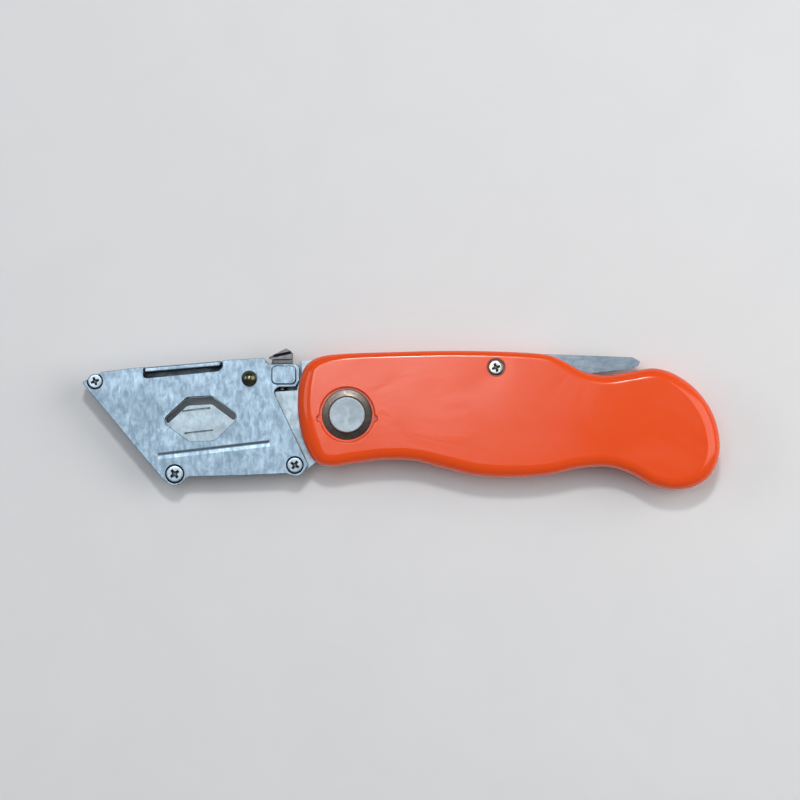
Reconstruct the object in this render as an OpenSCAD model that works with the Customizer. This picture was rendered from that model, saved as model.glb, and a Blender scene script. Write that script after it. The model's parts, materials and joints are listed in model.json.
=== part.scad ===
// Folding lock-back utility knife, drawn open and lying on its right side.
// X runs along the knife with the handle at +X and the blade holder at -X, +Y is towards the
// spine and +Z towards the left side. The origin is the middle of the footprint on the table.

/* [Handle] */
// Thickness of the whole handle
handle_t = 16.2; // [15.8:0.1:18]
// Width of the slot that the blade holder folds into
slot_w = 6.4; // [6.2:0.1:6.6]
// Thickness of each steel liner
liner_t = 0.9; // [0.8:0.1:1]
// Distance of a liner's edge inside the shell's outline
liner_inset = 1.4; // [1.2:0.1:1.8]
// Height of the straight wall under a shell's rounded edge
shell_wall = 0.6; // [0.4:0.1:0.8]

/* [Blade holder] */
// Thickness of the core plate that also forms the tang
core_t = 3.5; // [3.3:0.1:3.7]
// Thickness of the gap that takes the blade
blade_gap = 0.7; // [0.6:0.05:0.8]
// Thickness of the left cover plate
left_plate_t = 1.0; // [0.9:0.05:1.1]
// Thickness of the right cover plate
right_plate_t = 0.8; // [0.7:0.05:0.9]
// Angle of the blade's edge to the knife's long axis
blade_tilt = 6.6; // [6:0.1:7]
// Length of the viewing window in the left cover plate
window_l = 20.4; // [18:0.2:21]
// Height of the viewing window
window_h = 11.6; // [9:0.2:12]

/* [Pivot] */
// Radius of the tang's round hub
hub_r = 8.6; // [8.2:0.1:8.6]
// Radius of the pivot bolt's shank
pivot_r = 2.75; // [2.5:0.05:3]
// Radius of the flat disc heads of the pivot
disc_r = 4.65; // [4.2:0.05:4.7]
// Radius of the round recess that each disc sits in
recess_r = 7.1; // [6.9:0.05:7.3]
// Depth of the recess below the handle's face
recess_depth = 2.2; // [2:0.1:2.6]
// Radial running clearance of pins in bores
running = 0.05; // [0.02:0.01:0.08]

/* [Lock bar] */
// Thickness of the lock bar
bar_t = 5.2; // [4.8:0.1:5.6]
// Radius of the pin that the lock bar rocks on
bar_pin_r = 1.5; // [1.3:0.05:1.6]

/* [Hidden] */

$fn = 64;
eps = 0.01;
cut = 20;                      // reach of a cutting tool past any face
touch = 0.02;                  // gap between parts that meet face to face

// place of the pivot, measured from the middle of the knife's footprint
reach_front = 68.6;
reach_rear = 96.5;
reach_up = 17.2;
reach_down = 19.4;
pivot_at = [(reach_front - reach_rear) / 2, (reach_down - reach_up) / 2, handle_t / 2];

// levels across the thickness, measured from the middle of the handle
face_z = handle_t / 2;
slot_z = slot_w / 2;
shell_z = slot_z + liner_t;
shell_t = face_z - shell_z;
holder_t = core_t + blade_gap + left_plate_t + right_plate_t;
left_face_z = holder_t / 2;
left_plate_z = left_face_z - left_plate_t;
core_top_z = left_plate_z - blade_gap;
core_z = core_top_z - core_t;
right_face_z = core_z - right_plate_t;
hub_z = 2.8;

// outline of the handle, counter-clockwise: [x, y, softness of the edge]
handle_knots = [
    [12, 16.2, 1.6], [0, 15.8, 1.7], [-6.5, 15.1, 2.4], [-10.4, 13, 3.2], [-12.3, 8.6, 4],
    [-12.8, 3, 4], [-12.3, -2.6, 4], [-10.8, -8, 4], [-8.2, -12.2, 3.4], [-4.2, -13.4, 3],
    [2, -12.6, 3], [9.5, -11.7, 3], [17.5, -12, 3.2], [25, -13.9, 3.4], [33, -15.8, 3.4],
    [42.5, -16.3, 3.2], [52, -15.6, 3], [60, -13.9, 3], [67.5, -13.5, 3], [73.5, -15.3, 3],
    [79, -18.3, 3], [84.5, -19.4, 3], [89.8, -18.7, 3.4], [94, -15.8, 3.8], [96.3, -10.8, 4],
    [96.3, -5, 4], [94.3, 1.2, 4], [90.3, 6.6, 3.8], [85, 10.4, 3.2], [79.5, 12, 2.8],
    [73.5, 11.1, 2.6], [67, 10.2, 2.6], [61, 11.2, 2.4], [56, 13.9, 2], [51, 15.6, 1.7],
    [40, 16.3, 1.6], [26, 16.5, 1.6]];
knot_steps = 5;

// A closed smooth curve through the knots, with steps points from each knot to the next
function smooth_loop(knots, steps) = let (n = len(knots)) [
    for (i = [0 : n - 1])
        let (a = knots[(i + n - 1) % n], b = knots[i], c = knots[(i + 1) % n],
            d = knots[(i + 2) % n])
            for (k = [0 : steps - 1]) let (t = k / steps)
                (2 * b + (c - a) * t + (2 * a - 5 * b + 4 * c - d) * t * t
                + (3 * b - a - 3 * c + d) * t * t * t) / 2];

// The loop's unit normals, pointing inwards
function inward(loop) = let (n = len(loop)) [
    for (i = [0 : n - 1])
        let (d = loop[(i + 1) % n] - loop[(i + n - 1) % n], l = norm([d.x, d.y]))
            [-d.y, d.x] / l];

function flat(loop) = [for (p = loop) [p.x, p.y]];

handle_loop = smooth_loop(handle_knots, knot_steps);
handle_inward = inward(handle_loop);

// joint axes, measured from the pivot
bar_pin_at = [38.5, 12.2];
stud_at = [-25.4, 9.4];
tip_screw_at = [-65.5, 8.65];
low_screw_at = [-44.8, -15.4];
heel_screw_at = [-13.6, -13.1];
screw_at = [tip_screw_at, low_screw_at, heel_screw_at];
screw_head_r = [1.9, 2.3, 2.1];
screw_hole_gap = 0.15;
screw_shank_r = 1.2;
pin_at = [[85.5, -11], [84, 3.5]];
pin_r = 1.5;
pin_depth = 2;                 // how far a shell pin goes into each shell
stud_r = 1.5;
sleeve_r = pivot_r + 0.8;      // sleeve that the tang turns on
disc_drop = 0.45;              // depth of the discs' faces below the handle's face
bolt_tip_z = -face_z + 1.2;
bar_seat_r = 2.5;              // seat of the lock bar's screw in each shell
bar_seat_depth = 1.6;
bar_head_drop = 0.5;           // depth of the screw's head and nut below the handle's face
bar_tip_z = -face_z + 1;
screw_drop = 0.05;             // depth of the plate screws' heads below the plate's face
tab_gap = 0.12;                // room round the folded tab

module at_pivot() {
    translate(pivot_at) children();
}

// A flat piece of a 2D shape between two levels
module layer(low, high) {
    translate([0, 0, low]) linear_extrude(height = high - low) children();
}

// A straight hole or pin along Z at a point
module post(at, r, low, high) {
    translate([at.x, at.y, low]) cylinder(r = r, h = high - low);
}

// A cross slot for a screwdriver, sunk in a head
module cross_slot(at, size, top, depth) {
    for (turn = [20, 110])
        translate([at.x, at.y, top]) rotate(turn)
            cube([size, size * 0.22, 2 * depth], center = true);
}

// Rounds the corners of a 2D shape, both the outer and the inner ones
module eased(outer, inner) {
    offset(r = -inner) offset(r = inner + outer) offset(delta = -outer) children();
}

/* ---- handle ---- */

module handle_outline(inset) {
    offset(delta = -inset) polygon(flat(handle_loop));
}

// Triangles that fill a ring of points with near-straight rungs from side to side, starting
// at the ring's front. They keep the flat faces free of slivers where bores cut them.
front_knot = 5;
function rungs(first, count) = let (s = front_knot * knot_steps) concat(
    [[first + s, first + s + 1, first + s - 1]],
    [for (k = [1 : (count - 1) / 2 - 1])
        let (a = first + (s + k) % count, b = first + (s + k + 1) % count,
            c = first + (s - k - 1 + count) % count, d = first + (s - k + count) % count)
            each [[a, b, c], [a, c, d]]]);

function turned_over(faces) = [for (f = faces) [f[2], f[1], f[0]]];

// The shell's solid: straight walls, then an edge that rounds over to the flat face. Every
// point of the outline has its own softness.
module shell_body() {
    count = len(handle_loop);
    rings = 6;
    rise = shell_t - shell_wall;
    points = concat(
        [for (p = handle_loop) [p.x, p.y, shell_z]],
        [for (k = [0 : rings]) let (turn = 90 * k / rings)
            for (i = [0 : count - 1])
                let (soft = handle_loop[i].z, up = min(soft, rise))
                    [handle_loop[i].x + handle_inward[i].x * soft * (1 - cos(turn)),
                     handle_loop[i].y + handle_inward[i].y * soft * (1 - cos(turn)),
                     face_z - up * (1 - sin(turn))]]);
    sides = [for (k = [0 : rings]) for (i = [0 : count - 1])
        let (j = (i + 1) % count, low = k * count, high = low + count)
            each [[low + i, high + i, high + j], [low + i, high + j, low + j]]];
    polyhedron(points, concat(rungs(0, count), sides,
        turned_over(rungs((rings + 1) * count, count))));
}

// A left shell; the right one is its mirror image
module shell() {
    difference() {
        shell_body();
        post([0, 0], recess_r, face_z - recess_depth, cut);
        for (key = [-8, 188])
            post(recess_r * [cos(key), sin(key)], 0.8, face_z - recess_depth, cut);
        post([0, 0], pivot_r + touch, 0, cut);
        post(bar_pin_at, bar_seat_r, face_z - bar_seat_depth, cut);
        post(bar_pin_at, bar_pin_r + touch, 0, cut);
        for (at = pin_at) post(at, pin_r + touch, 0, shell_z + pin_depth + touch);
    }
}

module left_shell() {
    color("orangered") at_pivot() shell();
}

module right_shell() {
    color("orangered") at_pivot() mirror([0, 0, 1]) shell();
}

module liner() {
    difference() {
        layer(slot_z, shell_z) handle_outline(liner_inset);
        post([0, 0], pivot_r + touch, 0, cut);
        post(bar_pin_at, bar_pin_r + touch, 0, cut);
        for (at = pin_at) post(at, pin_r + touch, 0, cut);
    }
}

module left_liner() {
    color("lightsteelblue") at_pivot() liner();
}

module right_liner() {
    color("lightsteelblue") at_pivot() mirror([0, 0, 1]) liner();
}

// Fills the slot behind the folded holder and carries the lock spring
module rear_spacer() {
    color("dimgray") at_pivot() difference() {
        layer(-slot_z, slot_z) intersection() {
            handle_outline(liner_inset);
            polygon([[78.5, 20], [78.5, -2], [81, -14], [81, -30], [110, -30], [110, 20]]);
        }
        for (at = pin_at) post(at, pin_r + touch, -cut, cut);
        layer(-cut, cut) offset(delta = touch) spring_strip();
    }
}

module shell_pins() {
    color("silver") at_pivot()
        for (at = pin_at) post(at, pin_r, -shell_z - pin_depth, shell_z + pin_depth);
}

// Centre line of the leaf spring: it leaves the spacer and bends up to the bar's underside
spring_t = 0.8;
spring_root = [82, 6.2];
spring_tip = [58, 9.5];
function spring_point(t) =
    [spring_root.x + (spring_tip.x - spring_root.x) * t,
     spring_root.y + (spring_tip.y - spring_root.y) * t * t];

module spring_strip() {
    spring_steps = 10;
    line = [for (k = [0 : spring_steps]) spring_point(k / spring_steps)];
    polygon(concat(
        [for (p = line) p + [0, spring_t / 2]],
        [for (k = [spring_steps : -1 : 0]) line[k] - [0, spring_t / 2]]));
}

module lock_spring() {
    color("slategray") at_pivot() layer(-bar_t / 2, bar_t / 2) spring_strip();
}

/* ---- pivot ---- */

module disc_profile() {
    low = face_z - recess_depth;
    rim = 0.25;
    high = face_z - disc_drop;
    polygon([[0, low], [disc_r, low], [disc_r, high - rim], [disc_r - rim, high], [0, high]]);
}

module pivot_bolt() {
    color("lightsteelblue") at_pivot() {
        rotate_extrude() disc_profile();
        post([0, 0], pivot_r, bolt_tip_z, face_z - recess_depth + eps);
    }
}

module pivot_nut() {
    color("lightsteelblue") at_pivot() difference() {
        mirror([0, 0, 1]) rotate_extrude() disc_profile();
        post([0, 0], pivot_r + touch, bolt_tip_z - touch, cut);
    }
}

module pivot_sleeve() {
    color("goldenrod") at_pivot() difference() {
        post([0, 0], sleeve_r, -slot_z, slot_z);
        post([0, 0], pivot_r + touch, -cut, cut);
    }
}

// Steel ring at the floor of the recess, round the disc
module pivot_ring() {
    low = face_z - recess_depth;
    ring_t = 0.35;
    outer_gap = 0.6;
    inner_gap = 0.1;
    difference() {
        post([0, 0], recess_r - outer_gap, low, low + ring_t);
        post([0, 0], disc_r + inner_gap, 0, cut);
    }
}

module left_pivot_ring() {
    color("dimgray") at_pivot() pivot_ring();
}

module right_pivot_ring() {
    color("dimgray") at_pivot() mirror([0, 0, 1]) pivot_ring();
}

module washer() {
    difference() {
        post([0, 0], hub_r - 1, hub_z + running, slot_z);
        post([0, 0], sleeve_r + running, 0, cut);
    }
}

module left_washer() {
    color("goldenrod") at_pivot() washer();
}

module right_washer() {
    color("goldenrod") at_pivot() mirror([0, 0, 1]) washer();
}

/* ---- lock bar ---- */

module lock_screw() {
    head_r = 1.95;
    head_z = face_z - bar_head_drop;
    color("silver") at_pivot() difference() {
        union() {
            post(bar_pin_at, head_r, face_z - bar_seat_depth, head_z);
            post(bar_pin_at, bar_pin_r, bar_tip_z, face_z - bar_seat_depth + eps);
        }
        cross_slot(bar_pin_at, head_r * 1.38, head_z, 0.6);
    }
}

module lock_screw_nut() {
    color("silver") at_pivot() difference() {
        post(bar_pin_at, bar_seat_r - 0.2, -face_z + bar_head_drop, -face_z + bar_seat_depth);
        post(bar_pin_at, bar_pin_r + touch, bar_tip_z - touch, cut);
    }
}

// Side view of the bar: hooked nose over the hub, slim neck, boss at the pin, thumb tail
nose_y = hub_r + 0.3;
module bar_outline() {
    eased(0.5, 0.6) polygon([
        [-2, nose_y], [3, nose_y], [5, 12.3], [25, 12.3], [32.5, 9.1], [44.5, 9.1],
        [56, 10], [66, 11], [73.6, 11.8], [75.6, 12.7], [76.1, 13.8], [74, 14.9],
        [53, 15.7], [38, 15.6], [12, 15.2], [-2, 14.4]]);
}

module lock_bar() {
    color("slategray") at_pivot() difference() {
        layer(-bar_t / 2, bar_t / 2) bar_outline();
        post(bar_pin_at, bar_pin_r + running, -cut, cut);
    }
}

/* ---- blade holder ---- */

// Outline shared by both cover plates and the front of the core
lobe_r = [2.9, 3.0, 2.9];
module holder_outline() {
    tip_edge = [-68.9, 8.4];
    eased(0.5, 1.2) union() {
        polygon([tip_edge, [-63.6, 11.1], [-56.5, 12], [-30.2, 14.25], [-21.6, 14.7],
            [-20.8, 13.1], [-13.2, 13.1], [-12.4, 12.2], [-12.4, 9], [-13.4, 7.2],
            [-17.6, 7.2], [-19.3, 6.2], [-10, -13.4], [-13.6, -15.2], [-27.9, -15.8],
            [-40.8, -16.1], [-47.6, -17.1]]);
        for (i = [1, 2]) translate(screw_at[i]) circle(r = lobe_r[i]);
    }
}

// Height of a line along the blade, at a distance above the blade's edge
edge_at = [-34.6, -9.05];
module blade_side(above) {
    translate(edge_at) rotate(blade_tilt) translate([-60, above]) square([120, 60]);
}

module notch_outline() {
    eased(0.8, 0.01) polygon([[-53, 9.4], [-33.5, 11.3], [-32.3, 12.4], [-32.5, 20],
        [-52.8, 20]]);
}

// Lozenge with blunted points
module window_outline() {
    half_l = window_l / 2;
    half_h = window_h / 2;
    shoulder = window_l * 0.16;
    translate([-38.05, -1.1]) rotate(blade_tilt / 2) eased(1.6, 0.01)
        polygon([[-half_l, 0], [-shoulder, -half_h], [shoulder, -half_h], [half_l, 0],
            [shoulder, half_h], [-shoulder, half_h]]);
}

// Slot right through the core and the right plate, along the window's upper edges
module sight_slot() {
    layer(-cut, cut) eased(0.5, 0.01) difference() {
        offset(delta = -0.25) window_outline();
        translate([0, -2.2]) window_outline();
    }
}

// Shallow lines across the core's face, in view through the window
module floor_lines() {
    line_depth = 0.6;
    for (above = [4.8, 10.6])
        layer(core_top_z - line_depth, cut) translate(edge_at) rotate(blade_tilt)
            translate([-7.2, above]) square([7.4, 0.45]);
}

// Raised pad on the left plate, over the latch's arm
pad_low = [-19.6, 7.9];
pad_size = [6.3, 4.8];
pad_rise = 0.7;
module pad_outline() {
    eased(1.3, 0.01) translate(pad_low) square(pad_size);
}

module left_plate() {
    groove_l = 28.6;
    color("lightsteelblue") at_pivot() difference() {
        union() {
            layer(left_plate_z, left_face_z) holder_outline();
            layer(left_face_z - eps, left_face_z + pad_rise) pad_outline();
        }
        layer(-cut, cut) window_outline();
        layer(-cut, cut) notch_outline();
        translate([edge_at.x, edge_at.y, left_face_z]) rotate([0, 90, blade_tilt])
            cylinder(r = 0.45, h = groove_l, center = true);
        for (i = [0 : 2])
            post(screw_at[i], screw_head_r[i] + screw_hole_gap, -cut, cut);
        post(stud_at, stud_r + touch, -cut, cut);
    }
}

// The right plate carries the folded tab that closes the notch in the spine
tab_high = 1.3;
module right_plate() {
    color("lightsteelblue") at_pivot() difference() {
        union() {
            layer(right_face_z, core_z) holder_outline();
            layer(core_z - eps, left_face_z - 0.3) tab_outline();
        }
        sight_slot();
        for (i = [0 : 2]) post(screw_at[i], screw_shank_r + touch, -cut, cut);
        post(stud_at, stud_r + touch, -cut, cut);
    }
}

module tab_outline() {
    intersection() {
        eased(0.5, 0.01) polygon([[-52.7, 10.9], [-32.9, 12.6], [-32.9, 13.9], [-52.7, 12.2]]);
        holder_outline();
    }
}

// Core: same front as the plates, round hub at the pivot, shoulder that the lock bar meets.
// Behind the shoulder the hub stays under the bar's nose, so the tang turns free of it.
fold_angle = 164;
shoulder_x = -2.15;
module tang_outline() {
    free_angle = 54 - fold_angle;
    heel = heel_screw_at + lobe_r[2] * [cos(-62), sin(-62)];
    eased(0.3, 0.3) polygon([[-24, 12.6], [-13, 12.6], [-12.2, 14], [-8.8, 14.3],
        [shoulder_x, 13], [shoulder_x, 0], hub_r * [cos(free_angle), sin(free_angle)], heel,
        [-20, -13]]);
}

// Room in the core for the latch, open at the spine
module latch_room() {
    eased(0.5, 0.01) polygon([[-32.4, 5.6], [-26, 5.2], [-22.4, 5.6], [-19.4, 5.9], [-13, 6.3],
        [-12.7, 9], [-11.9, 9.6], [-11.9, 22], [-21.6, 22], [-22, 12.9], [-32.4, 11.4]]);
}

latch_floor_z = -1.8;
module core_plate() {
    color("lightblue") at_pivot() difference() {
        union() {
            layer(core_z, core_top_z) {
                holder_outline();
                tang_outline();
            }
            post([0, 0], hub_r, -hub_z, hub_z);
        }
        layer(latch_floor_z, cut) latch_room();
        layer(core_z + 0.5, cut) notch_outline();
        sight_slot();
        floor_lines();
        layer(-cut, cut) offset(delta = tab_gap) tab_outline();
        layer(-cut, cut) tab_relief();
        post([0, 0], sleeve_r + running, -cut, cut);
        for (at = screw_at) post(at, screw_shank_r + touch, -cut, cut);
        post(stud_at, stud_r + touch, -cut, cut);
    }
}

// Strip above the tab, so that no sliver of the core stays over it
module tab_relief() {
    polygon([[-52.82, 12], [-32.78, 13.7], [-32.78, 20], [-52.82, 20]]);
}

// Rails beside the blade, in the gap between the core and the left plate
module rail_layer() {
    layer(core_top_z, left_plate_z) intersection() {
        offset(delta = -0.1) holder_outline();
        children();
    }
}

blade_w = 19;
module upper_rail() {
    color("gainsboro") at_pivot() difference() {
        rail_layer() difference() {
            blade_side(blade_w + 0.15);
            translate([-32.8, -20]) square(60);
            notch_outline();
        }
        layer(-cut, cut) offset(delta = tab_gap) tab_outline();
        layer(-cut, cut) tab_relief();
        post(tip_screw_at, screw_shank_r + touch, -cut, cut);
    }
}

module lower_rail() {
    color("gainsboro") at_pivot() difference() {
        rail_layer() difference() {
            translate([-80, -30]) square([80, 60]);
            blade_side(0);
        }
        for (i = [1, 2]) post(screw_at[i], screw_shank_r + touch, -cut, cut);
    }
}

module blade_stop() {
    color("gainsboro") at_pivot() rail_layer() intersection() {
        blade_side(touch);
        polygon([[-20.6, 3.6], [-16.8, -12], [0, -12], [0, 3.6]]);
    }
}

module plate_screws() {
    color("silver") at_pivot() for (i = [0 : 2]) difference() {
        union() {
            post(screw_at[i], screw_head_r[i], left_plate_z, left_face_z - screw_drop);
            post(screw_at[i], screw_shank_r, right_face_z + 0.1, left_plate_z + eps);
        }
        cross_slot(screw_at[i], screw_head_r[i] * 1.3, left_face_z - screw_drop, 0.5);
    }
}

// Headed stud through all plates: the thumb pushes on it and the latch rocks round it
module thumb_stud() {
    dome_r = 2.05;
    dome_h = 2.1;
    module dome() {
        translate([stud_at.x, stud_at.y, left_face_z + touch]) rotate_extrude()
            intersection() {
                translate([0, -0.6]) scale([1, 1.15]) circle(r = dome_r + 0.32);
                square([dome_r, dome_h]);
            }
    }
    color("darkolivegreen") at_pivot() {
        post(stud_at, stud_r, -left_face_z - touch - eps, left_face_z + touch + eps);
        dome();
        mirror([0, 0, 1]) dome();
    }
}

/* ---- blade latch ---- */

latch_top_z = left_plate_z - 0.15;
latch_low_z = latch_floor_z + 0.15;

// Lever that rocks on the stud: nose in front, arm behind, neck up to the thumb pad
module latch_outline() {
    eased(0.3, 0.5) union() {
        polygon([[-31.6, 6.6], [-30.4, 6.4], [-27, 6.9], [-22, 8.6], [-14.4, 8.6],
            [-14.2, 14.8], [-19.4, 14.8], [-20, 11.9], [-25, 12.4], [-31.6, 9.8]]);
        translate(stud_at) circle(r = 2.9);
    }
}

module thumb_pad_outline() {
    eased(0.35, 0.01) polygon([[-21.6, 14.35], [-15.9, 17.2], [-14.9, 16.7], [-14.2, 15.9],
        [-14.2, 14.5]]);
}

// Slanted groove under the thumb pad's lip, on both sides
thumb_pad_z = 2.6;
module pad_groove() {
    groove_depth = 1.4;
    groove_size = [7.4, 0.75];
    layer(thumb_pad_z - groove_depth, cut)
        translate([-20.6, 14.5]) rotate(12) square(groove_size);
}

module blade_latch() {
    color("dimgray") at_pivot() difference() {
        union() {
            layer(latch_low_z, latch_top_z) latch_outline();
            layer(-thumb_pad_z, thumb_pad_z) thumb_pad_outline();
        }
        post(stud_at, stud_r + running, -cut, cut);
        pad_groove();
        mirror([0, 0, 1]) pad_groove();
    }
}

// Small coil spring that holds the thumb pad up
spring_at = [-17, 6.15, 0];
spring_h = 2.4;
coil_r = 1.1;
wire_r = 0.2;
coil_turns = 3;
module latch_spring() {
    per_turn = 12;
    ring = 6;
    count = coil_turns * per_turn;
    rise = spring_h - 2 * wire_r - 0.1;
    points = [for (i = [0 : count]) let (turn = 360 * i / per_turn)
        for (k = [0 : ring - 1]) let (a = 360 * k / ring, r = coil_r + wire_r * cos(a))
            [r * sin(turn), wire_r * (1 + sin(a)) + 0.05 + rise * i / count, r * cos(turn)]];
    sides = [for (i = [0 : count - 1]) for (k = [0 : ring - 1])
        let (a = i * ring + k, b = i * ring + (k + 1) % ring)
            each [[a, b, b + ring], [a, b + ring, a + ring]]];
    first = [for (k = [ring - 1 : -1 : 0]) k];
    last = [for (k = [0 : ring - 1]) count * ring + k];
    color("silver") at_pivot() translate(spring_at)
        polyhedron(points, concat([first], sides, [last]));
}

left_shell();
right_shell();
left_liner();
right_liner();
rear_spacer();
shell_pins();
lock_spring();
pivot_bolt();
pivot_nut();
pivot_sleeve();
left_pivot_ring();
right_pivot_ring();
left_washer();
right_washer();
lock_screw();
lock_screw_nut();
lock_bar();
core_plate();
left_plate();
right_plate();
upper_rail();
lower_rail();
blade_stop();
plate_screws();
thumb_stud();
blade_latch();
latch_spring();
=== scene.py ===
import json
import math

import bpy
import bmesh
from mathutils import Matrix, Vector
from mathutils.geometry import delaunay_2d_cdt


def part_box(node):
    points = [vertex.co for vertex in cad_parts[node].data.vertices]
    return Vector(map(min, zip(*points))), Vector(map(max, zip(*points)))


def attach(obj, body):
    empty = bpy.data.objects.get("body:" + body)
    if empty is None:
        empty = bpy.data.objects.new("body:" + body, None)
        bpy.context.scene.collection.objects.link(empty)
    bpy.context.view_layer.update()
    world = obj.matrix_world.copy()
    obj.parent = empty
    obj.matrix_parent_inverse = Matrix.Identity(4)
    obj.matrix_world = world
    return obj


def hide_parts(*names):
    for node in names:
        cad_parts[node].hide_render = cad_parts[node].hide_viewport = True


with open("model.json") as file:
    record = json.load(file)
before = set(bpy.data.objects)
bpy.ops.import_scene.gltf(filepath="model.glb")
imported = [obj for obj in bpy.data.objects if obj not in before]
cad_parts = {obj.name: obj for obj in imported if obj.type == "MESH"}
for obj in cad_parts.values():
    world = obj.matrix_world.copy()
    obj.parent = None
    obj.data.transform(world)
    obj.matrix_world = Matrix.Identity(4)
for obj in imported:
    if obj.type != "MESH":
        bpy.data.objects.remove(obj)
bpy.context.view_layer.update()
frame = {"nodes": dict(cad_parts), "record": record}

MM = 0.001
LEVEL_FIT = 2e-6        # how far a flat face's corners may lie off its level


# ---- levels and outlines of the part ----

def flat_loops(node, level):
    """Border loops of a part's flat faces at one level, with the material on each loop's left"""
    mesh = frame["nodes"][node].data
    edges, downward = set(), 0
    for face in mesh.polygons:
        spots = [mesh.vertices[v].co for v in face.vertices]
        if max(abs(p.z - level) for p in spots) > LEVEL_FIT:
            continue
        downward += 1 if face.normal.z < 0 else -1
        keys = [(p.x, p.y) for p in spots]
        for a, b in zip(keys, keys[1:] + keys[:1]):
            if (b, a) in edges:
                edges.remove((b, a))
            elif a != b:
                edges.add((a, b))
    follow = {}
    for a, b in sorted(edges):
        follow.setdefault(a, []).append(b)
    loops = []
    while follow:
        start = at = min(follow)
        loop = []
        while at in follow:
            loop.append(Vector(at))
            after = follow[at].pop()
            if not follow[at]:
                del follow[at]
            at = after
        loops.append(loop[::-1] if downward > 0 else loop)
    return [cornered(spaced(loop)) for loop in loops if len(loop) > 3]


def spaced(loop):
    """The loop without points that nearly coincide"""
    kept, gap = [], 0.03 * MM
    for p in loop:
        if not kept or (p - kept[-1]).length > gap:
            kept.append(p)
    if (kept[0] - kept[-1]).length < gap:
        kept.pop()
    return kept


def cornered(loop):
    """The loop without shallow points close beside its sharp corners; turns are in radians"""
    shallow, sharp, gap = 0.4, 0.7, 0.35 * MM
    count = len(loop)
    turn = [abs((p - loop[i - 1]).angle_signed(loop[(i + 1) % count] - p))
            for i, p in enumerate(loop)]
    return [p for i, p in enumerate(loop) if turn[i] > shallow or not any(
        turn[k % count] > sharp and (loop[k % count] - p).length < gap
        for k in (i - 1, i + 1))]


def area(loop):
    """The loop's area, less than zero for a hole"""
    return sum(a.cross(b) for a, b in zip(loop, loop[1:] + loop[:1])) / 2


def middle(loop):
    """Middle of the loop's width and height"""
    return Vector(((min(p.x for p in loop) + max(p.x for p in loop)) / 2,
                   (min(p.y for p in loop) + max(p.y for p in loop)) / 2))


def reach(loop):
    """Half the loop's width"""
    return (max(p.x for p in loop) - min(p.x for p in loop)) / 2


def levels(node):
    """The levels of a part's flat faces, lowest first"""
    mesh = frame["nodes"][node].data
    found = {}
    for face in mesh.polygons:
        spots = [mesh.vertices[v].co.z for v in face.vertices]
        if max(spots) - min(spots) < LEVEL_FIT:
            key = round(spots[0], 5)
            found.setdefault(key, [0, spots[0]])[0] += face.area
    return [z for key, (size, z) in sorted(found.items()) if size > MM * MM]


def ring(centre, radius, count=96):
    """A round loop"""
    return [Vector((centre.x + radius * math.cos(math.tau * i / count),
                    centre.y + radius * math.sin(math.tau * i / count)))
            for i in range(count)]


# ---- skins built up from rings of points ----

def sides(loop):
    """For every point: the way that moves both its edges out by one, and the way it faces"""
    ways, shades = [], []
    for i, p in enumerate(loop):
        a, b = p - loop[i - 1], loop[(i + 1) % len(loop)] - p
        na, nb = Vector((a.y, -a.x)).normalized(), Vector((b.y, -b.x)).normalized()
        half = (na + nb).normalized()
        ways.append(half / max(half.dot(na), 0.5))
        shades.append(Vector((a.y + b.y, -a.x - b.x)).normalized())
    return ways, shades


def arc(off, z, reach_off, reach_z, first, last, steps):
    """Part of an ellipse across an edge, as (distance outwards, level) pairs"""
    return [(off + reach_off * math.cos(math.radians(first + (last - first) * k / steps)),
             z + reach_z * math.sin(math.radians(first + (last - first) * k / steps)))
            for k in range(steps + 1)]


def enclosed(p, edges):
    """Whether a point is inside the area between loops"""
    hits = 0
    for a, b in edges:
        if (a.y > p.y) != (b.y > p.y):
            hits += a.x + (p.y - a.y) / (b.y - a.y) * (b.x - a.x) > p.x
    return hits % 2 == 1


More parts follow.
